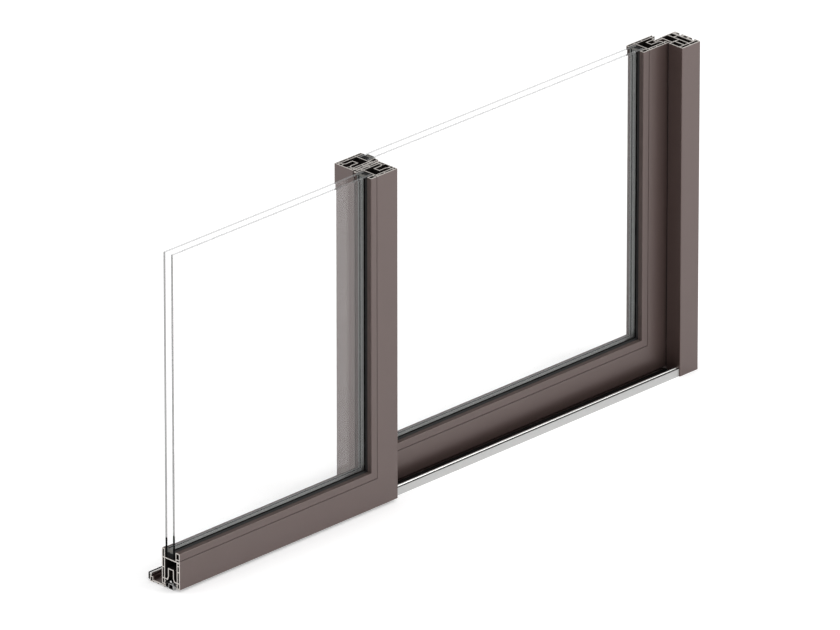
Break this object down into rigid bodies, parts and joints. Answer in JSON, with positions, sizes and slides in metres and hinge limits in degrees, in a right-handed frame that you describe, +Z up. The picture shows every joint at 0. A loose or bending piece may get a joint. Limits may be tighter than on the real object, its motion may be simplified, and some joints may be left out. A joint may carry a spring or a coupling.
{
  "type": "cutaway sample of a horizontal sliding window",
  "caption": "Cutaway of a horizontal sliding window: a glazed sash on the front track, a glazed sash behind it at the jamb, and the sill that carries both.",
  "frame": {"origin": "on the level the sill stands on, under the middle of the sample", "axes": "+X along the sill to the jamb, +Y from the front sash to the rear sash, +Z up"},
  "size_m": [1.131, 0.081, 0.55],
  "materials": {
    "brown_paint": "satin powder coat on aluminium",
    "clear_aluminium": "clear anodised",
    "rail_steel": "brushed stainless",
    "glass": "clear float glass",
    "black_rubber": "matt",
    "black_plastic": "matt",
    "grey_pile": "pile",
    "roller_plastic": "moulded"
  },
  "bodies": {
    "root": {"front_rail": "rail_steel", "front_sash_bottom_bead": "brown_paint", "front_sash_bottom_rail": "brown_paint", "front_sash_brush_seals": "grey_pile", "front_sash_edge_seal": "black_rubber", "front_sash_front_gasket": "black_rubber", "front_sash_front_pane": "glass", "front_sash_interlock": "brown_paint", "front_sash_rear_gasket": "black_rubber", "front_sash_rear_pane": "glass", "front_sash_right_bead": "brown_paint", "front_sash_right_stile": "brown_paint", "front_sash_roller_carriages": "rail_steel", "front_sash_rollers": "roller_plastic", "front_sash_setting_blocks": "black_plastic", "front_sash_spacer": "clear_aluminium", "front_track": "clear_aluminium", "jamb_seal": "black_rubber", "rear_rail": "rail_steel", "rear_sash_bottom_bead": "brown_paint", "rear_sash_bottom_rail": "brown_paint", "rear_sash_brush_seals": "grey_pile", "rear_sash_edge_seal": "black_rubber", "rear_sash_front_gasket": "black_rubber", "rear_sash_front_pane": "glass", "rear_sash_interlock": "brown_paint", "rear_sash_left_bead": "brown_paint", "rear_sash_left_stile": "brown_paint", "rear_sash_rear_gasket": "black_rubber", "rear_sash_rear_pane": "glass", "rear_sash_right_bead": "brown_paint", "rear_sash_right_stile": "brown_paint", "rear_sash_roller_carriages": "rail_steel", "rear_sash_rollers": "roller_plastic", "rear_sash_setting_blocks": "black_plastic", "rear_sash_spacer": "clear_aluminium", "right_jamb": "brown_paint", "sill_base": "brown_paint", "sill_rear_seal": "black_rubber", "sill_thermal_break": "black_plastic"}
  },
  "joints": []
}
